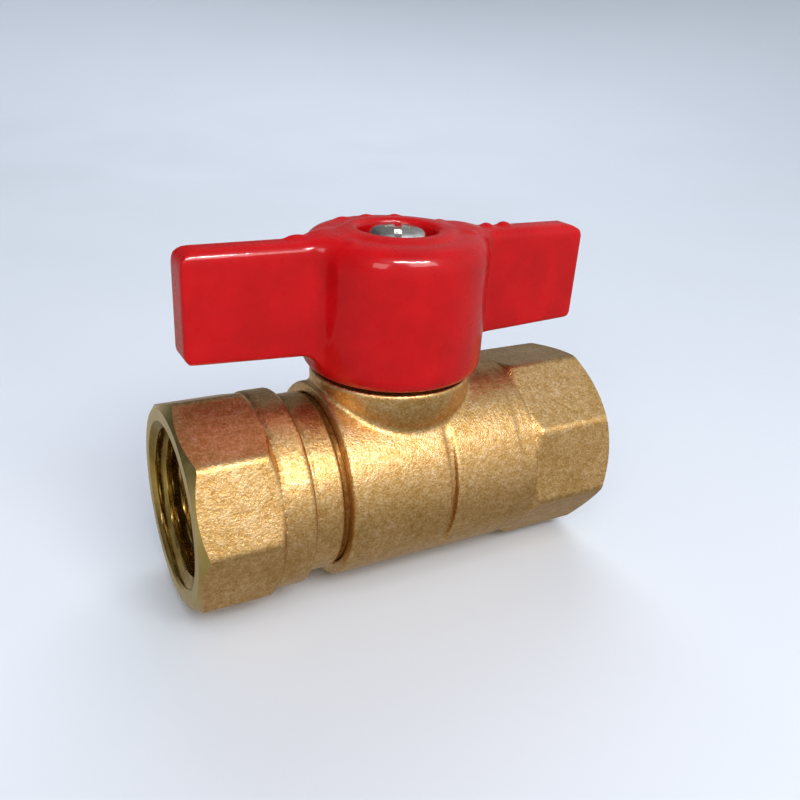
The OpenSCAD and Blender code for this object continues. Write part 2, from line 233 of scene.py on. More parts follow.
def forged_cap(x, y, z):
    """The end cap, worked out with x counted outwards from the ball centre."""
    x = -x
    rr = np.sqrt(y * y + z * z)
    start = HALF - INLET_OCT
    prism = smax(octagon(y, z, INLET_TURN, 0.45), slab(x, start - 0.3, HALF + 1), 0.3)
    prism = smax(prism, rr - (COLLAR_R - 0.6) - 1.2 * (x - start + 0.3), 0.4)
    root = start - COLLAR_LEN
    collar = smax(rr - COLLAR_R, slab(x, root, start), 0.7)
    collar = smax(collar, rr - NECK_R - 0.15 - 1.5 * (x - root), 0.5)
    d = smin(prism, collar, 0.15)
    d = smin(d, np.maximum(rr - NECK_R, slab(x, -CAP_INNER - 1, root + 1)), 0.25)
    return smax(d, 0.38 - np.sqrt((x - root) ** 2 + (rr - NECK_R - 0.2) ** 2), 0.25)


def cast_lever(x, y, z):
    rr = np.sqrt(x * x + y * y)
    hub = smax(smax(rr - HUB_R, z - HUB_TOP, 3.0), HUB_BOTTOM - z, 2.2)
    low = ARM_TOP - ARM_HEIGHT - ARM_ROOT_DROP * (1 - np.clip(np.abs(x) / ARM_TIP, 0, 1))
    tip = np.abs(x) - ARM_TIP
    side = np.abs(y) - ARM_HALF
    arm = np.maximum(smax(side, z - ARM_TOP, 1.8), smax(z - ARM_TOP, tip, 2.6))
    arm = smax(arm, smax(side, tip, 0.9), 0.15)
    arm = smax(arm, np.maximum(smax(low - z, tip, 1.6), smax(low - z, side, 0.9)), 0.15)
    d = smin(hub, arm, 2.0)
    # raised rim round the screw recess, and plain cast pads on the hub top and arm roots
    rim = np.maximum(smax(rr - RIM_R, z - RIM_TOP, 1.3), 30 - z)
    d = smin(d, rim, 1.0)
    for px, py, lx, ly in PADS:
        pad = np.sqrt(((x - px) / lx) ** 2 + ((y - py) / ly) ** 2 + ((z - ARM_TOP) / 0.5) ** 2) - 1
        d = smin(d, pad * 0.5, 0.3)
    d = smax(d, z - RIM_TOP, 0.2)
    # screw recess, then the hollow under the hub with its stop rib
    d = smax(d, -smax(rr - RECESS_R, RECESS_FLOOR - z, 0.2), 1.0)
    d = smax(d, -smax(rr - HUB_INNER_R, slab(z, HUB_BOTTOM - 3, HUB_CEILING), 0.8), 0.9)
    rib = smax(slab(rr, RIB_R, HUB_INNER_R + 0.5), -wedge(x, y, FREE_TURN, FREE_WIDTH), 0.4)
    return np.minimum(d, smax(rib, slab(z, RIB_BOTTOM, RIB_TOP), 0.3))


def surface(field, low, high, cell):
    """Polygons of a field's zero level by naive surface nets, with the points pulled onto it."""
    low, high = np.array(low, float) - 2 * cell, np.array(high, float) + 2 * cell
    n = np.ceil((high - low) / cell).astype(int) + 1
    axes = [low[i] + cell * np.arange(n[i]) for i in range(3)]
    yy, zz = np.meshgrid(axes[1], axes[2], indexing="ij")
    val = np.stack([field(np.full_like(yy, x0), yy, zz) for x0 in axes[0]])
    inside = val < 0
    corner = [(i, j, k) for i in (0, 1) for j in (0, 1) for k in (0, 1)]
    count = sum(inside[tuple(slice(c[i], c[i] + n[i] - 1) for i in range(3))].astype(np.int8)
                for c in corner)
    cells = np.argwhere((count > 0) & (count < 8))
    ids = np.full(n - 1, -1)
    ids[tuple(cells.T)] = np.arange(len(cells))
    total, hits = np.zeros((len(cells), 3)), np.zeros(len(cells))
    for a in corner:
        for axis in range(3):
            if a[axis]:
                continue
            b = np.array(a)
            b[axis] = 1
            va, vb = val[tuple((cells + a).T)], val[tuple((cells + b).T)]
            cross = (va < 0) != (vb < 0)
            p = np.tile(np.array(a, float), (len(cells), 1))
            p[:, axis] = np.where(cross, va / np.where(cross, va - vb, 1), 0)
            total += np.where(cross[:, None], p, 0)
            hits += cross
    points = (cells + total / hits[:, None]) * cell + low
    for _ in range(5):
        v = field(*points.T)
        g = np.stack([(field(*(points + h).T) - field(*(points - h).T)) / 0.04
                      for h in np.eye(3) * 0.02], 1)
        step = np.clip(v / np.maximum((g * g).sum(1), 0.2), -0.3 * cell, 0.3 * cell)
        points -= step[:, None] * g
    quads = []
    for axis in range(3):
        u, w = [(1, 2), (2, 0), (0, 1)][axis]
        lo = [slice(1, m - 1) for m in n]
        lo[axis] = slice(0, n[axis] - 1)
        hi = list(lo)
        hi[axis] = slice(1, n[axis])
        first, second = inside[tuple(lo)], inside[tuple(hi)]
        base = np.argwhere(first != second)
        out = first[tuple(base.T)]
        shift = np.array([1, 1, 1])
        shift[axis] = 0
        base = base + shift
        eu, ew = np.eye(3, dtype=int)[u], np.eye(3, dtype=int)[w]
        ring = np.stack([ids[tuple((base - s).T)] for s in (0 * eu, eu, eu + ew, ew)], 1)
        quads.append(np.where(out[:, None], ring, ring[:, ::-1]))
    return points, np.concatenate(quads)


# ---------------------------------------------------------------- meshes
def make_object(name, points, faces):
    """Mesh object from points in mm, with its faces turned outwards."""
    mesh = bpy.data.meshes.new(name)
    mesh.from_pydata((np.asarray(points) * MM).tolist(), [], [list(map(int, f)) for f in faces])
    bm = bmesh.new()
    bm.from_mesh(mesh)
    if bm.calc_volume(signed=True) < 0:
        bmesh.ops.reverse_faces(bm, faces=bm.faces)
    bm.to_mesh(mesh)
    bm.free()
    obj = bpy.data.objects.new(name, mesh)
    scene.collection.objects.link(obj)
    return obj


def turn_out(along, c, s, axis):
    return (along, c, s) if axis == "x" else (s, c, along)


def lathe_rows(name, xs, radius, axis="x", around=128):
    """Closed body of revolution: radius(x, angle) at each x, with a point on the axis at each end."""
    angles = np.linspace(0, 2 * math.pi, around, endpoint=False)
    pts = [turn_out(xs[0], 0, 0, axis)]
    for i, x in enumerate(xs):
        for t in angles:
            r = radius(i, x, t)
            pts.append(turn_out(x, r * math.cos(t), r * math.sin(t), axis))
    pts.append(turn_out(xs[-1], 0, 0, axis))
    faces, last = [], 1 + (len(xs) - 1) * around
    for j in range(around):
        k = (j + 1) % around
        faces += [(0, 1 + k, 1 + j), (last + j, last + k, len(pts) - 1)]
        for i in range(len(xs) - 1):
            a, b = 1 + i * around, 1 + (i + 1) * around
            faces.append((a + j, a + k, b + k, b + j))
    return make_object(name, pts, faces)


def lathe(name, profile, axis="x", around=128):
    """Closed body of revolution from (along, radius) corners."""
    xs, rs = [p[0] for p in profile], [p[1] for p in profile]
    return lathe_rows(name, xs, lambda i, x, t: rs[i], axis, around)


def lathe_loop(name, loop, around=128):
    """Closed ring of revolution about X from a closed loop of (along, radius) corners."""
    n = len(loop)
    pts = [(x, r * math.cos(t), r * math.sin(t)) for x, r in loop
           for t in np.linspace(0, 2 * math.pi, around, endpoint=False)]
    faces = [(i * around + j, i * around + (j + 1) % around,
              (i + 1) % n * around + (j + 1) % around, (i + 1) % n * around + j)
             for i in range(n) for j in range(around)]
    return make_object(name, pts, faces)


def tooth(x, t, pitch):
    """Height from 0 to 1 of a sharp V thread with small flats, at a place along the axis."""
    phase = (x / pitch - t / (2 * math.pi)) % 1
    return min(max((1 - abs(2 * phase - 1)) * 1.25 - 0.12, 0), 1)


def pipe_tap(name, side):
    """Tap for a tapered pipe thread that leaves a helical thread and a countersunk mouth."""
    cone_start = HALF - MOUTH_DEPTH

    def radius(i, x, t):
        if x > HALF:
            return MOUTH_R
        fade = min(max((x - PORT_BOTTOM - 0.9) / 2.2, 0), 1)
        r = PORT_R + tooth(x, t, PIPE_PITCH) * (PIPE_TOOTH - (HALF - x) * PIPE_TAPER) * fade
        return max(r, PORT_R + (MOUTH_R - PORT_R) * (x - cone_start) / MOUTH_DEPTH)

    xs = list(np.linspace(PORT_BOTTOM, HALF, 107)) + [HALF + 2]
    tap = lathe_rows(name, xs, radius)
    if side < 0:
        flip = Matrix.Rotation(math.pi, 4, "Z")
        tap.data.transform(flip)
    return tap


def bore_tap(name, start, end, crest, depth, pitch, axis="x"):
    """Tap for a straight thread between two places along the axis."""
    def radius(i, x, t):
        fade = min(max((x - start) / pitch, 0), 1) * min(max((end - x) / pitch, 0), 1)
        return crest + tooth(x, t, pitch) * depth * fade

    steps = int((end - start) / pitch * 10)
    return lathe_rows(name, list(np.linspace(start, end, steps)), radius, axis)


def cut_with(obj, tool, metal=None, operation="DIFFERENCE"):
    """Boolean with another object, which is used up; its faces bring their own material."""
    if metal:
        tool.data.materials.clear()
        tool.data.materials.append(metal)
    m = obj.modifiers.new("cut", "BOOLEAN")
    m.object, m.operation, m.solver, m.material_mode = tool, operation, "MANIFOLD", "TRANSFER"
    bake(obj)
    bpy.data.objects.remove(tool)


def bake(obj):
    """Replaces the mesh with the result of the modifiers."""
    dg = bpy.context.evaluated_depsgraph_get()
    mesh = bpy.data.meshes.new_from_object(obj.evaluated_get(dg), depsgraph=dg)
    obj.modifiers.clear()
    obj.data = mesh


def shade(obj, angle=35):
    """Welds the slivers that cuts leave, then shades smooth with edges above the angle kept sharp."""
    mesh = obj.data
    bm = bmesh.new()
    bm.from_mesh(mesh)
    bmesh.ops.remove_doubles(bm, verts=bm.verts, dist=WELD_GAP)
    bmesh.ops.triangulate(bm, faces=[f for f in bm.faces if len(f.verts) > 4])
    bmesh.ops.dissolve_degenerate(bm, dist=WELD_GAP, edges=bm.edges)
    bm.to_mesh(mesh)
    bm.free()
    mesh.polygons.foreach_set("use_smooth", [True] * len(mesh.polygons))
    mesh.set_sharp_from_angle(angle=math.radians(angle))
    mesh.update()


def block(name, low, high, bevel=0):
    pts = [(x, y, z) for x in (low[0], high[0]) for y in (low[1], high[1]) for z in (low[2], high[2])]
    faces = [(0, 1, 3, 2), (4, 6, 7, 5), (0, 4, 5, 1), (2, 3, 7, 6), (0, 2, 6, 4), (1, 5, 7, 3)]
    obj = make_object(name, pts, faces)
    if bevel:
        m = obj.modifiers.new("bevel", "BEVEL")
        m.width, m.segments = bevel * MM, 3
        bake(obj)
    return obj


# ---------------------------------------------------------------- materials
class Nodes:
    """Small helper that builds one material's node tree."""

    def __init__(self, name, **sockets):
        self.mat = bpy.data.materials.new(name)
        self.mat.use_nodes = True
        self.tree = self.mat.node_tree
        self.bsdf = self.tree.nodes["Principled BSDF"]
        for key, value in sockets.items():
            self.bsdf.inputs[key.replace("_", " ")].default_value = value
        self.coord = self.add("TexCoord").outputs["Object"]

    def add(self, kind, **props):
        n = self.tree.nodes.new("ShaderNode" + kind)
        for key, value in props.items():
            setattr(n, key, value)
        return n

    def feed(self, socket, value):
        if isinstance(value, bpy.types.NodeSocket):
            self.tree.links.new(value, socket)
        else:
            socket.default_value = value

    def maths(self, op, *values):
        n = self.add("Math", operation=op)
        for i, v in enumerate(values):
            self.feed(n.inputs[i], v)
        return n.outputs[0]

    def noise(self, size_mm, detail=2.0, rough=0.5, vector=None):
        n = self.add("TexNoise")
        self.feed(n.inputs["Vector"], self.coord if vector is None else vector)
        n.inputs["Scale"].default_value = 1000 / size_mm
        n.inputs["Detail"].default_value = detail
        n.inputs["Roughness"].default_value = rough
        return n.outputs["Fac"]

    def cells(self, size_mm, feature="F1"):
        n = self.add("TexVoronoi", feature=feature)
        self.feed(n.inputs["Vector"], self.coord)
        n.inputs["Scale"].default_value = 1000 / size_mm
        return n

    def ramp(self, value, *stops):
        """Colour ramp: stops are (position, grey or (r, g, b))."""
        n = self.add("ValToRGB")
        while len(n.color_ramp.elements) < len(stops):
            n.color_ramp.elements.new(0.5)
        for e, (pos, c) in zip(n.color_ramp.elements, stops):
            e.position = pos
            e.color = (c, c, c, 1) if isinstance(c, (int, float)) else (*c, 1)
        self.feed(n.inputs[0], value)
        return n.outputs[0]

    def mix(self, factor, a, b, blend="MIX"):
        n = self.add("Mix", data_type="RGBA", blend_type=blend)
        self.feed(n.inputs[0], factor)
        for i, v in ((6, a), (7, b)):
            self.feed(n.inputs[i], v if isinstance(v, bpy.types.NodeSocket) else (*v, 1))
        return n.outputs[2]

    def bump(self, *layers):
        """Stacked bumps, each (height, strength, depth in mm)."""
        normal = None
        for height, strength, depth in layers:
            n = self.add("Bump")
            n.inputs["Strength"].default_value = strength
            n.inputs["Distance"].default_value = depth * MM
            self.feed(n.inputs["Height"], height)
            if normal is not None:
                self.feed(n.inputs["Normal"], normal)
            normal = n.outputs[0]
        self.feed(self.bsdf.inputs["Normal"], normal)

    def set(self, key, value):
        self.feed(self.bsdf.inputs[key], value)

    def edges(self, low, high):
        """0 in hollows and on flats, 1 on sharp outer edges; the materials paint highlights with it."""
        return self.ramp(self.add("NewGeometry").outputs["Pointiness"], (low, 0.0), (high, 1.0))

    def hollows(self, low, high):
        """1 in hollows, 0 on flats and edges; the materials paint shade with it."""
        return self.ramp(self.add("NewGeometry").outputs["Pointiness"], (low, 1.0), (high, 0.0))

    def tool_marks(self, axis, pitch_mm):
        """Rings of a turning tool about an axis, a little uneven."""
        sep = self.add("SeparateXYZ")
        self.feed(sep.inputs[0], self.coord)
        along, other = ("X", "Z") if axis == "x" else ("Z", "X")
        sides = [self.maths("POWER", sep.outputs[k], 2.0) for k in ("Y", other)]
        r = self.maths("SQRT", self.maths("ADD", *sides))
        place = self.maths("ADD", r, self.maths("MULTIPLY", sep.outputs[along], 0.83))
        wobble = self.maths("MULTIPLY", self.noise(6.0, 1.0), 0.15 * pitch_mm * MM)
        turns = self.maths("MULTIPLY", self.maths("ADD", place, wobble), 2 * math.pi / pitch_mm / MM)
        return self.maths("ADD", self.maths("MULTIPLY", self.maths("SINE", turns), 0.5), 0.5), place


def forged_brass():
    m = Nodes("forged brass", Metallic=1.0)
    dents, grain = m.noise(1.0, 3.0, 0.55), m.noise(0.28, 3.0, 0.62)
    fine, broad = m.noise(0.12, 2.0), m.noise(5.5, 3.0)
    speckle = m.maths("ADD", m.maths("MULTIPLY", grain, 0.65), m.maths("MULTIPLY", dents, 0.35))
    base = m.ramp(speckle, (0.36, (0.54, 0.30, 0.085)), (0.5, (0.72, 0.45, 0.18)),
                  (0.63, (0.90, 0.66, 0.38)))
    tint = m.ramp(broad, (0.35, (0.88, 0.84, 0.74)), (0.65, (1.0, 0.98, 1.0)))
    base = m.mix(1.0, base, tint, "MULTIPLY")
    # painted shade: creases and hollows darkened towards dark brown
    base = m.mix(m.maths("MULTIPLY", m.hollows(0.40, 0.485), 0.5), base, (0.20, 0.105, 0.03))
    # painted highlight: sharp outer edges lightened towards pale gold
    base = m.mix(m.maths("MULTIPLY", m.edges(0.52, 0.60), 0.35), base, (0.95, 0.72, 0.40))
    m.set("Base Color", base)
    m.set("Roughness", m.ramp(m.noise(0.3, 2.0), (0.3, 0.27), (0.7, 0.44)))
    pits = m.ramp(m.cells(0.5).outputs["Distance"], (0.0, 0.0), (0.5, 1.0))
    m.bump((dents, 0.5, 0.12), (pits, 0.25, 0.04), (grain, 0.7, 0.07), (fine, 0.5, 0.03))
    return m.mat


def turned_brass(name, axis, dark, light, shine=0.16):
    m = Nodes(name, Metallic=1.0)
    rings, place = m.tool_marks(axis, 0.22)
    line = m.add("TexNoise", noise_dimensions="1D")
    m.feed(line.inputs["W"], place)
    line.inputs["Scale"].default_value = 9000
    base = m.ramp(m.noise(3.0, 3.0), (0.35, dark), (0.65, light))
    base = m.mix(m.maths("MULTIPLY", line.outputs["Fac"], 0.25), base, (0.40, 0.26, 0.08))
    # painted highlight: sharp outer edges lightened towards pale gold
    base = m.mix(m.maths("MULTIPLY", m.edges(0.52, 0.62), 0.4), base, (0.98, 0.82, 0.48))
    m.set("Base Color", base)
    m.set("Roughness", m.ramp(m.noise(0.8, 2.0), (0.3, shine), (0.7, shine + 0.14)))
    m.bump((rings, 0.18, 0.02), (line.outputs["Fac"], 0.25, 0.015), (m.noise(1.5), 0.1, 0.03))
    return m.mat


def red_enamel():
    m = Nodes("red enamel", Coat_Weight=0.4, Coat_Roughness=0.03, Roughness=0.4)
    m.bsdf.inputs["Specular IOR Level"].default_value = 0.05
    broad, speck = m.noise(4.0, 2.0), m.noise(0.5, 2.0)
    base = m.ramp(broad, (0.35, (0.40, 0.0015, 0.003)), (0.65, (0.47, 0.002, 0.0045)))
    base = m.mix(m.maths("MULTIPLY", m.ramp(speck, (0.62, 0.0), (0.72, 1.0)), 0.18), base,
                 (0.34, 0.004, 0.008))
    # painted shade: creases and hollows darkened towards deep red
    base = m.mix(m.maths("MULTIPLY", m.hollows(0.44, 0.49), 0.45), base, (0.20, 0.003, 0.006))
    # painted highlight: lighter red in patches along the sharp edges
    painted_edge_highlight = m.maths("MULTIPLY", m.edges(0.54, 0.66), m.ramp(m.noise(0.9, 3.0), (0.5, 0.0), (0.6, 1.0)))
    base = m.mix(m.maths("MULTIPLY", painted_edge_highlight, 0.25), base, (0.72, 0.10, 0.08))
    m.set("Base Color", base)
    m.set("Roughness", m.ramp(m.noise(1.2, 2.0), (0.3, 0.24), (0.7, 0.40)))
    m.bump((m.noise(2.6, 1.0), 0.25, 0.12), (m.noise(0.7, 2.0), 0.16, 0.04))
    coat = m.add("Bump")
    coat.inputs["Strength"].default_value = 0.22
    coat.inputs["Distance"].default_value = 0.1 * MM
    m.feed(coat.inputs["Height"], m.noise(2.2, 2.0))
    m.feed(m.bsdf.inputs["Coat Normal"], coat.outputs[0])
    return m.mat


def plated_steel():
    m = Nodes("zinc plate", Metallic=1.0)
    blotch = m.noise(0.9, 3.0)
    base = m.ramp(blotch, (0.35, (0.58, 0.57, 0.50)), (0.65, (0.84, 0.83, 0.78)))
    # painted shade: creases and hollows darkened towards dark grey
    base = m.mix(m.maths("MULTIPLY", m.hollows(0.42, 0.49), 0.6), base, (0.16, 0.14, 0.11))
    # painted highlight: sharp outer edges lightened towards pale silver
    base = m.mix(m.maths("MULTIPLY", m.edges(0.53, 0.62), 0.5), base, (0.92, 0.91, 0.88))
    m.set("Base Color", base)
    m.set("Roughness", m.ramp(m.noise(0.4, 2.0), (0.3, 0.12), (0.7, 0.25)))
    m.bump((m.noise(0.8, 2.0), 0.2, 0.05), (m.noise(0.14, 2.0), 0.15, 0.02))
    return m.mat


def chrome():
    m = Nodes("chrome plate", Metallic=1.0)
    stretch = m.add("Mapping")
    m.feed(stretch.inputs["Vector"], m.coord)
    stretch.inputs["Scale"].default_value = (1.0, 1.0, 9.0)
    lines = m.noise(0.9, 3.0, 0.6, stretch.outputs[0])
    m.set("Base Color", m.ramp(m.noise(3.0), (0.3, (0.66, 0.68, 0.70)), (0.7, (0.78, 0.79, 0.80))))
    m.set("Roughness", m.ramp(lines, (0.35, 0.05), (0.75, 0.16)))
    m.bump((lines, 0.05, 0.01), (m.noise(0.25), 0.03, 0.01))
    return m.mat


def ptfe(name="ptfe", shade_of=(0.80, 0.80, 0.77)):
    m = Nodes(name, Roughness=0.4)
    m.bsdf.inputs["Subsurface Weight"].default_value = 0.15
    m.bsdf.inputs["Subsurface Scale"].default_value = 0.0008
    rings, _ = m.tool_marks("z", 0.3)
    dark = tuple(c * 0.86 for c in shade_of)
    m.set("Base Color", m.ramp(m.noise(1.6, 3.0), (0.3, dark), (0.7, shade_of)))
    m.set("Roughness", m.ramp(m.noise(0.6, 2.0), (0.3, 0.34), (0.7, 0.5)))
    m.bump((rings, 0.12, 0.015), (m.noise(0.5, 2.0), 0.15, 0.02))
    return m.mat


def nitrile():
    m = Nodes("nitrile", Roughness=0.45)
    m.set("Base Color", m.ramp(m.noise(0.7, 3.0), (0.3, (0.012, 0.012, 0.013)), (0.7, (0.03, 0.03, 0.03))))
    m.set("Roughness", m.ramp(m.noise(0.4, 2.0), (0.3, 0.36), (0.7, 0.58)))
    m.bump((m.noise(0.2, 2.0), 0.2, 0.01), (m.noise(1.1), 0.1, 0.02))
    return m.mat


def studio_floor():
    m = Nodes("pale floor", Roughness=0.6)
    m.set("Base Color", m.ramp(m.noise(700.0, 2.0), (0.3, (0.62, 0.655, 0.715)), (0.7, (0.65, 0.685, 0.735))))
    m.set("Roughness", m.ramp(m.noise(60.0, 2.0), (0.3, 0.55), (0.7, 0.7)))
    return m.mat


FORGED = forged_brass()
TURNED_X = turned_brass("turned brass x", "x", (0.58, 0.41, 0.10), (0.74, 0.54, 0.15))
TURNED_Z = turned_brass("turned brass z", "z", (0.52, 0.36, 0.11), (0.66, 0.47, 0.16))
# the thread material is a darker copy of the turned brass: painted shade inside the threaded ports
SHADED_THREAD_BRASS = turned_brass("threaded brass with painted shade", "x", (0.30, 0.19, 0.045), (0.56, 0.38, 0.10), 0.2)
RED, ZINC, CHROME, PTFE, NITRILE = red_enamel(), plated_steel(), chrome(), ptfe(), nitrile()
PACKING = ptfe("packing ptfe", (0.74, 0.71, 0.62))
for name, metal in (("joint_seal", PTFE), ("ball", CHROME), ("inlet_seat", PTFE),
                    ("outlet_seat", PTFE), ("stem", TURNED_Z), ("thrust_washer", PTFE),
                    ("lower_stem_o_ring", NITRILE), ("upper_stem_o_ring", NITRILE),
                    ("lower_packing_ring", PACKING), ("upper_packing_ring", PACKING),
                    ("packing_gland", TURNED_Z), ("packing_nut", TURNED_Z), ("lever", RED),
                    ("body", FORGED), ("end_cap", FORGED),
                    ("lock_washer", ZINC), ("lever_screw", ZINC)):
    for s in nodes[name].material_slots:
        s.material = metal


def finish_piece(obj, body, slot, *replaced):
    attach(obj, body)
    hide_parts(*replaced)
    return obj


# ---------------------------------------------------------------- forged and machined body
def quarter(x, r, radius, start, end, steps=7):
    """Points of an arc in a lathe profile; 0 degrees is along the axis and 90 outwards."""
    return [(x + radius * math.cos(a), r + radius * math.sin(a))
            for a in np.radians(np.linspace(start, end, steps))]


def facing_tool(name):
    """Machines the end face at HALF and the chamfer round it."""
    wide = FACE_R + 2.6
    return lathe(name, [(HALF, 0.01), (HALF, FACE_R), (HALF - 2, wide), (HALF - 2, wide + 2),
                        (HALF + 3, wide + 2), (HALF + 3, 0.01)])


def build_body():
    pts, faces = surface(forged_body, (BODY_END - 1, -14, -14), (HALF + 1, 14, BOSS_TOP + 1), CELL)
    obj = make_object("forged_body", pts, faces)
    obj.data.materials.append(FORGED)
    cut_with(obj, facing_tool("face"), TURNED_X)
    cut_with(obj, lathe("rim", [
        (BODY_END - 2, 0.01), (BODY_END - 2, 17), (BODY_END - 0.01, 17),
        (BODY_END + 0.02, BODY_R + 0.03), (BODY_END + 0.5, BODY_R + 0.03),
        *quarter(BODY_END + 0.5, BODY_R - 0.5, 0.5, 90, 180), (BODY_END, 0.01)]), FORGED)
    cut_with(obj, lathe("bore", [
        (BODY_END - 1, 0.01), (BODY_END - 1, JOINT_R + 1.3),
        (BODY_END + 0.3, JOINT_R), (-JOINT_SHOULDER, JOINT_R), (-JOINT_SHOULDER, CHAMBER_R),
        (CHAMBER_END, CHAMBER_R), (CHAMBER_END, POCKET_R), (SEAT_BACK, POCKET_R),
        (SEAT_BACK, PASSAGE_R), (PORT_BOTTOM + 0.5, PASSAGE_R), (PORT_BOTTOM + 0.5, 0.01)]), TURNED_X)
    cut_with(obj, pipe_tap("port", 1), SHADED_THREAD_BRASS)
    cut_with(obj, bore_tap("joint", BODY_END - 0.5, -JOINT_SHOULDER - 0.4, JOINT_R - 0.02,
                           JOINT_TOOTH, JOINT_PITCH),
             TURNED_X)
    cut_with(obj, lathe("stem_bore", [
        (3, 0.01), (3, FLANGE_BORE_R), (WASHER_TOP, FLANGE_BORE_R), (WASHER_TOP, STEM_BORE_R),
        (PACKING_BOTTOM, STEM_BORE_R), (PACKING_BOTTOM, PACKING_R), (BOSS_TOP - 0.3, PACKING_R),
        (BOSS_TOP, PACKING_R + 0.3), (BOSS_TOP, 12), (BOSS_TOP + 3, 12), (BOSS_TOP + 3, 0.01)], "z"),
        TURNED_Z)
    shade(obj)
    return finish_piece(obj, "valve_body", "forged_brass", "body")


def build_cap():
    pts, faces = surface(forged_cap, (-HALF - 1, -14, -14), (CAP_INNER + 1, 14, 14), CELL)
    obj = make_object("forged_end_cap", pts, faces)
    obj.data.materials.append(FORGED)
    turn = Matrix.Rotation(math.pi, 4, "Z")
    start = -BODY_END
    groove = lathe_loop("groove", [
        (-CAP_INNER - 2, 18), (-CAP_INNER - 2, PLUG_R), (start, PLUG_R), (start, GROOVE_R),
        (start + 0.45, GROOVE_R + 0.02), *quarter(start + 1.1, NECK_R - 0.6, 0.6, 180, 90),
        (start + 1.1, NECK_R + 0.02), (start + 0.9, 18)])
    groove.data.transform(turn)
    cut_with(obj, groove, FORGED)
    tool = facing_tool("face")
    tool.data.transform(turn)
    cut_with(obj, tool, TURNED_X)
    inner = -CAP_INNER
    bore = lathe("bore", [
        (inner - 3, 0.01), (inner - 3, 17), (inner, 17), (inner, POCKET_R + 0.25),
        (inner + 0.25, POCKET_R), (SEAT_BACK, POCKET_R), (SEAT_BACK, PASSAGE_R),
        (PORT_BOTTOM + 0.5, PASSAGE_R), (PORT_BOTTOM + 0.5, 0.01)])
    bore.data.transform(turn)
    cut_with(obj, bore, TURNED_X)
    cut_with(obj, pipe_tap("port", -1), SHADED_THREAD_BRASS)
    shade(obj)
    return finish_piece(obj, "valve_body", "forged_brass", "end_cap")


# ---------------------------------------------------------------- cast lever
def build_lever():
    pts, faces = surface(cast_lever, (-ARM_TIP, -HUB_R, HUB_BOTTOM), (ARM_TIP, HUB_R, RIM_TOP), CELL)
    obj = make_object("cast_lever", pts, faces)
    obj.data.materials.append(RED)
    hole = lathe("stem_hole", [(HUB_CEILING - 1, 0.01), (HUB_CEILING - 1, STEM_R + 0.05),
                               (RECESS_FLOOR + 1, STEM_R + 0.05), (RECESS_FLOOR + 1, 0.01)], "z", 64)
    flats = block("flats", (-6, -STEM_FLATS / 2 - 0.05, HUB_CEILING - 2),
                  (6, STEM_FLATS / 2 + 0.05, HUB_TOP + 2))
    cut_with(hole, flats, operation="INTERSECT")
    cut_with(obj, hole, RED)
    shade(obj, 50)
    return finish_piece(obj, "lever_assembly", "red_enamel", "lever")


# ---------------------------------------------------------------- screw
def build_screw():
    top, under = SCREW_TOP, SCREW_TOP - HEAD_HEIGHT
    tip = span("lever_screw", 2)[0]
    r = SCREW_R

    def arc(cx, cz, rad, a0, a1, n):
        return [(cz + rad * math.sin(math.radians(a)), cx + rad * math.cos(math.radians(a)))
                for a in np.linspace(a0, a1, n)]

    head = [(top, 0.01), (top - 0.02, 0.7), (top - 0.1, 1.4)]
    head += [(top - 0.25, 2.0)] + arc(r - 1.4, top - 1.6, 1.4, 66, 0, 9)
    head += [(under + 0.1, r), (under, r - 0.12), (under, 0.01)]
    obj = lathe("pan_head_screw", head[::-1], "z", 128)
    obj.data.materials.append(ZINC)

    def shank(i, z, t):
        fade = min(max((under - z) / 0.8, 0), 1) * min(max((z - tip) / 0.7, 0.0), 1)
        cut = tooth(z, t, SCREW_PITCH) * SCREW_TOOTH * fade
        return SCREW_SHANK - SCREW_TOOTH + cut + (SCREW_TOOTH if z > under - 0.5 else 0)

    zs = list(np.linspace(tip, under + 0.3, 100))
    cut_with(obj, lathe_rows("shank", zs, shank, "z", 64), ZINC, "UNION")
    # cross recess: two tapering wings, then one long driver slot across the whole head
    for turn in (0, 90):
        wing = block("wing", (-CROSS_LEN / 2, -0.5, top - 1.5), (CROSS_LEN / 2, 0.5, top + 1), 0.12)
        for v in wing.data.vertices:
            if v.co.z < (top - 0.8) * MM:
                v.co.x *= 0.45
                v.co.y *= 0.7
        wing.data.transform(Matrix.Rotation(math.radians(turn + SLOT_TURN), 4, "Z"))
        cut_with(obj, wing, ZINC)
    slot = block("slot", (-5, -0.45, top - 0.75), (5, 0.45, top + 1), 0.1)
    slot.data.transform(Matrix.Rotation(math.radians(SLOT_TURN), 4, "Z"))
    cut_with(obj, slot, ZINC)
    shade(obj, 40)
    return finish_piece(obj, "lever_assembly", "zinc_plate", "lever_screw")


build_body()
build_cap()
lever, screw = build_lever(), build_screw()
for name, node in nodes.items():
    node.modifiers.new("weld", "WELD").merge_threshold = WELD_GAP
    if name in ("packing_nut", "packing_gland", "stem", "lock_washer"):
        m = node.modifiers.new("edges", "BEVEL")
        m.width, m.segments, m.limit_method, m.angle_limit = 0.15 * MM, 2, "ANGLE", math.radians(40)


# ---------------------------------------------------------------- floor and light
def area_light(name, azimuth, elevation, distance, size, watts, colour=(1, 1, 1), seen=True):
    """Softbox aimed at the valve; azimuth 0 is in front of it, at -Y, and 90 at +X."""
    data = bpy.data.lights.new(name, "AREA")
    data.shape, data.size, data.size_y = "RECTANGLE", size[0], size[1]
    data.energy, data.color = watts, colour
    obj = bpy.data.objects.new(name, data)
    scene.collection.objects.link(obj)
    a, e = math.radians(azimuth), math.radians(elevation)
    away = Vector((math.sin(a) * math.cos(e), -math.cos(a) * math.cos(e), math.sin(e)))
    obj.location = away * distance + Vector((0, 0, 0.008))
    obj.rotation_euler = away.to_track_quat("Z", "Y").to_euler()
    obj.visible_glossy = seen
    return obj


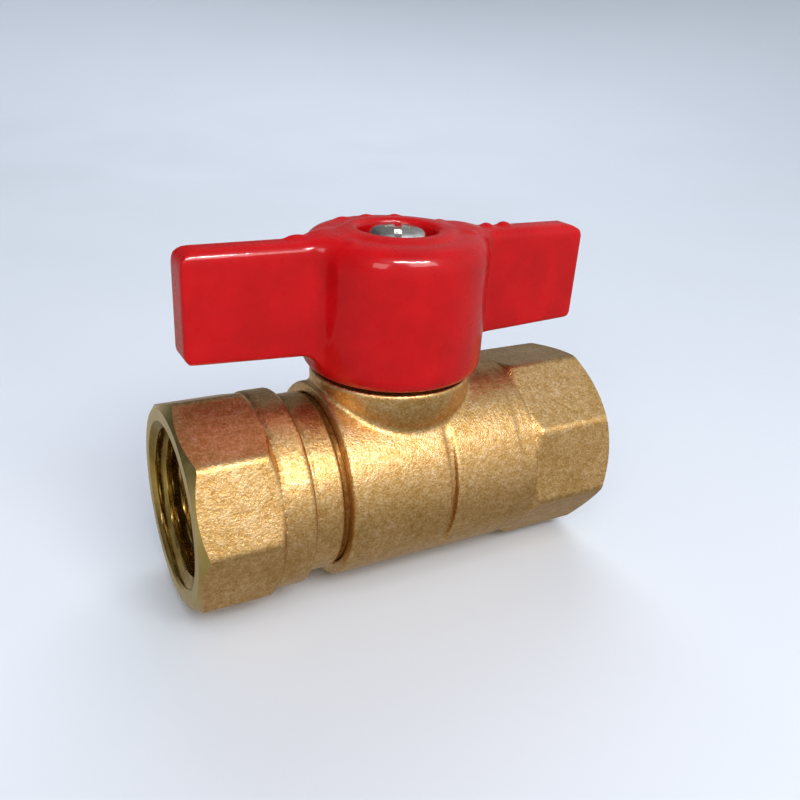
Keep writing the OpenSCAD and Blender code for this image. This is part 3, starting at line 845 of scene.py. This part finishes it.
# studio colours from straight down, 0, through the horizon, 0.5, to straight up, 1
WORLD_RAMP = ((0.0, (0.44, 0.42, 0.38)), (0.13, (0.26, 0.25, 0.22)), (0.3, (0.42, 0.41, 0.38)),
              (0.5, (0.66, 0.66, 0.66)), (0.72, (0.85, 0.88, 0.92)), (1.0, (0.55, 0.60, 0.68)))
STUDIO_FRONT = (0.45, -0.88, 0.0)
BACK_LEVEL, FRONT_LEVEL = 0.10, 1.25        # strength behind and in front, above the horizon


def studio_world():
    """Graded world: coloured by height, and brighter in front than behind above the horizon."""
    world = bpy.data.worlds.new("studio")
    scene.world = world
    world.use_nodes = True
    tree = world.node_tree
    coord = tree.nodes.new("ShaderNodeTexCoord")
    sep = tree.nodes.new("ShaderNodeSeparateXYZ")
    tree.links.new(coord.outputs["Generated"], sep.inputs[0])
    height = tree.nodes.new("ShaderNodeMapRange")
    height.inputs["From Min"].default_value = -1
    tree.links.new(sep.outputs["Z"], height.inputs["Value"])
    ramp = tree.nodes.new("ShaderNodeValToRGB")
    ramp.color_ramp.interpolation = "B_SPLINE"
    while len(ramp.color_ramp.elements) < len(WORLD_RAMP):
        ramp.color_ramp.elements.new(0.5)
    for e, (pos, c) in zip(ramp.color_ramp.elements, WORLD_RAMP):
        e.position, e.color = pos, (*c, 1)
    tree.links.new(height.outputs[0], ramp.inputs[0])
    front = tree.nodes.new("ShaderNodeVectorMath")
    front.operation = "DOT_PRODUCT"
    tree.links.new(coord.outputs["Generated"], front.inputs[0])
    front.inputs[1].default_value = STUDIO_FRONT
    side = tree.nodes.new("ShaderNodeMapRange")
    side.inputs["From Min"].default_value = -0.75
    side.inputs["To Min"].default_value, side.inputs["To Max"].default_value = BACK_LEVEL, FRONT_LEVEL
    tree.links.new(front.outputs["Value"], side.inputs["Value"])
    back = tree.nodes["Background"]
    tree.links.new(ramp.outputs[0], back.inputs[0])
    above = tree.nodes.new("ShaderNodeMapRange")
    above.inputs["From Min"].default_value, above.inputs["From Max"].default_value = -0.3, 0.15
    tree.links.new(sep.outputs["Z"], above.inputs["Value"])
    blend = tree.nodes.new("ShaderNodeMix")
    blend.inputs["A"].default_value = 1.0
    tree.links.new(above.outputs[0], blend.inputs["Factor"])
    tree.links.new(side.outputs[0], blend.inputs["B"])
    tree.links.new(blend.outputs[0], back.inputs[1])


BOWL_R, BOWL_BEND, BOWL_TOP, BOWL_SIDES = 450, 700, 1500, 96    # mm, and sides round it


def stage():
    """Bowl floor with a curved foot, the world, and the lights."""
    low = cad_box[0][2] / MM
    rise = [(0, 0.01), (0, 60), (0, 250), (0, BOWL_R)]
    rise += [(BOWL_BEND * (1 - math.cos(math.radians(a))), BOWL_R + BOWL_BEND * math.sin(math.radians(a)))
             for a in range(6, 85, 6)]
    rise += [(BOWL_TOP, BOWL_R + BOWL_BEND + 20)]
    rows = [[(r * math.cos(t), r * math.sin(t), low + h)
             for t in np.linspace(0, 2 * math.pi, BOWL_SIDES, endpoint=False)] for h, r in rise]
    n = BOWL_SIDES
    faces = [(i * n + j, i * n + (j + 1) % n, i * n + n + (j + 1) % n, i * n + n + j)
             for i in range(len(rows) - 1) for j in range(n)]
    mesh = bpy.data.meshes.new("floor")
    mesh.from_pydata((np.array(rows).reshape(-1, 3) * MM).tolist(), [], faces)
    mesh.polygons.foreach_set("use_smooth", [True] * len(mesh.polygons))
    floor = bpy.data.objects.new("floor", mesh)
    scene.collection.objects.link(floor)
    mesh.materials.append(studio_floor())
    # reflections see the studio instead of the floor: pale below, dim behind, brighter in front
    floor.visible_glossy = False
    studio_world()
    area_light("key", 8, 42, 0.50, (0.26, 0.16), 1.2, (1, 0.98, 0.95))
    area_light("left", -48, 30, 0.42, (0.12, 0.16), 0.4, (1, 0.97, 0.93))
    # a narrow strip that only draws highlights on the enamel and the screw
    strip = area_light("strip", -4, 56, 0.45, (0.28, 0.02), 5)
    strip.visible_diffuse = False
    shown = bpy.data.collections.new("strip receivers")
    for obj in (lever, screw):
        shown.objects.link(obj)
    strip.light_linking.receiver_collection = shown
    area_light("fill", -10, 55, 0.6, (0.5, 0.4), 1.6, seen=False)
    area_light("back", 152, 42, 0.75, (0.60, 0.40), 3.0, (0.93, 0.96, 1), seen=False)


stage()

scene.view_settings.view_transform = "Standard"
